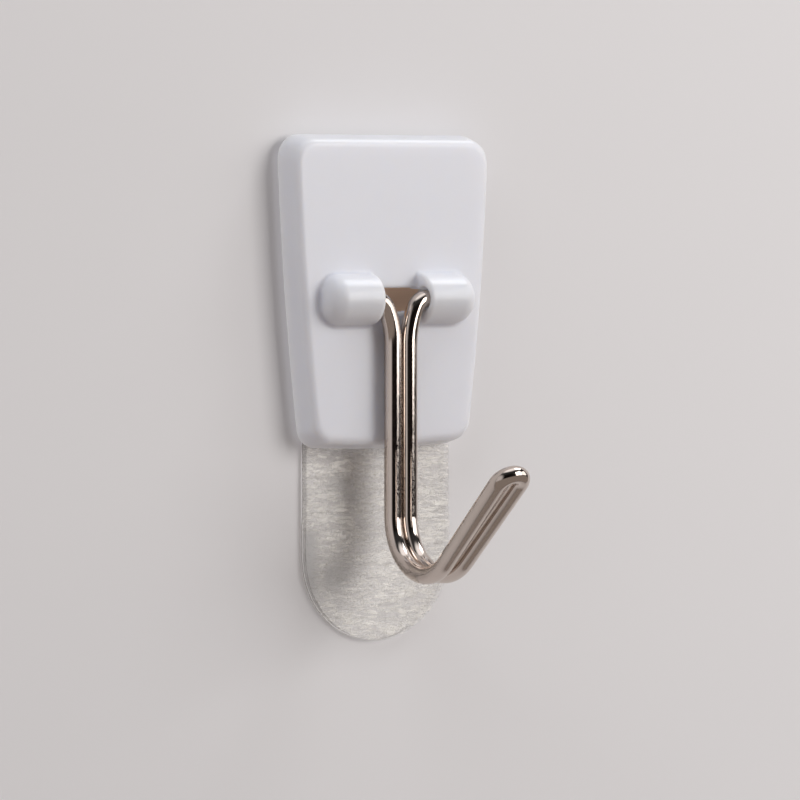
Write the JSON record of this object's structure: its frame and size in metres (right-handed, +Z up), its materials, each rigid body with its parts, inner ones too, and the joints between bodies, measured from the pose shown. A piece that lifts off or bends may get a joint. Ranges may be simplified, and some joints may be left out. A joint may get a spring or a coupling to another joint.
{
  "type": "adhesive wall hook",
  "caption": "Small wall hook: tapered plastic base plate with half-round sleeves, a doubled wire hook that swings up in them, and a clear stretch-release adhesive strip with a round pull tab.",
  "frame": {"origin": "on the wall plane, on the centreline, at the height of the hook's swing axis", "axes": "+X to the right seen from the front, +Y into the wall, so the hook stands out towards -Y, +Z up"},
  "size_m": [0.022, 0.0223, 0.0458],
  "materials": {
    "white_plastic": "cool white satin moulding",
    "plated_wire": "polished nickel plate on steel wire",
    "clear_core": "clear stretchable film, finely wrinkled",
    "clear_adhesive": "clear tacky layer",
    "tab_film": "clear dry film"
  },
  "bodies": {
    "base": {"base_plate": "white_plastic", "stretch_core": "clear_core", "wall_adhesive": "clear_adhesive", "plate_adhesive": "clear_adhesive", "tab_film_front": "tab_film", "tab_film_back": "tab_film"},
    "hook": {"wire_hook": "plated_wire"}
  },
  "joints": [
    {"name": "hook_swing", "type": "hinge", "parent": "base", "child": "hook", "pos_m": [0, -0.0043, 0], "axis": [-1, 0, 0], "range_deg": [0, 135]}
  ]
}
